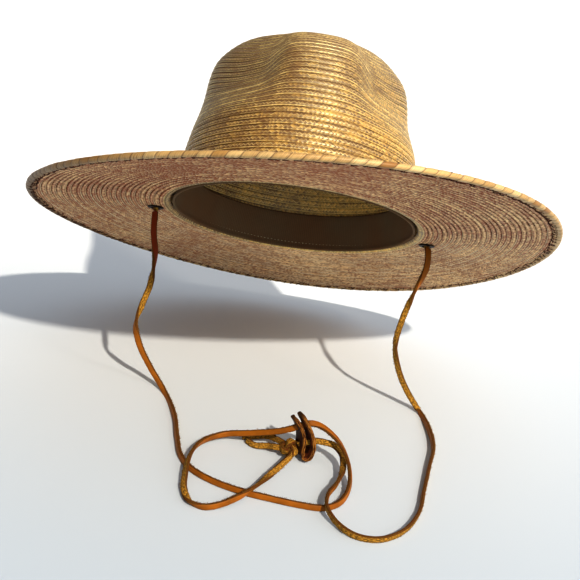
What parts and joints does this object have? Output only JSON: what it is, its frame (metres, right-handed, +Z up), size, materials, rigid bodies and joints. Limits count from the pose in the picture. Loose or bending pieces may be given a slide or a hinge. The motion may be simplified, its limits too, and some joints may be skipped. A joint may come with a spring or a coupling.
{
  "type": "straw hat",
  "caption": "Wide-brimmed fedora of sewn palm-straw braid, tilted back as worn, with a long leather chin lace through brim eyelets, a folded leather slide and a knot.",
  "frame": {"origin": "centre of the head opening, in the plane of the brim's underside", "axes": "+X across the hat to the viewer's right, -Y to the hat's front, +Z up; the hat is tilted back 31 degrees about +X, as a head wears it"},
  "size_m": [0.344, 0.3234, 0.2531],
  "materials": {
    "crown_straw": "satin",
    "brim_straw": "matte",
    "edge_straw": "satin",
    "sweatband_cloth": "matte",
    "eyelet_metal": "satin",
    "lace_leather": "matte",
    "slide_leather": "matte"
  },
  "bodies": {
    "root": {"crown_side": "crown_straw", "crown_tip": "crown_straw", "brim": "brim_straw", "brim_edge": "edge_straw", "sweatband": "sweatband_cloth", "eyelet_left": "eyelet_metal", "eyelet_right": "eyelet_metal", "chin_lace": "lace_leather", "lace_tail_upper": "lace_leather", "lace_tail_lower": "lace_leather", "lace_slide": "slide_leather", "lace_knot": "lace_leather"}
  },
  "joints": []
}
